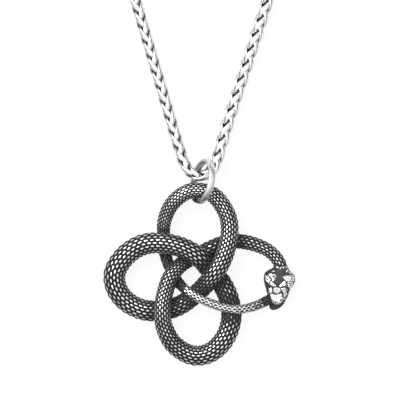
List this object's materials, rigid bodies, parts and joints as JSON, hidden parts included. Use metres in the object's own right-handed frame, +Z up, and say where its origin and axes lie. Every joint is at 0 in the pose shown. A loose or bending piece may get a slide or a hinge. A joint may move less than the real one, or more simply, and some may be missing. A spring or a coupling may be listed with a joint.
{
  "type": "snake knot pendant necklace",
  "caption": "Snake wound in a knot and biting its tail, as a dark cast pendant that hangs from a plain ring on a steel wheat chain.",
  "frame": {"origin": "the middle of the laid-out necklace, on the surface that it lies on", "axes": "+Y from the pendant towards the clasp, the pendant's upright; +Z up out of the surface, the way the pendant faces; +X to the right seen from above"},
  "size_m": [0.1232, 0.3044, 0.0107],
  "materials": {
    "blackened_steel": "cast steel, blackened in the recesses and polished on the raised scales",
    "polished_steel": "plain polished steel",
    "chain_steel": "polished steel wire links"
  },
  "bodies": {
    "root": {"snake": "blackened_steel", "bail_ring": "polished_steel", "chain": "chain_steel", "clasp": "polished_steel", "clasp_ring": "polished_steel", "end_ring": "polished_steel"}
  },
  "joints": []
}
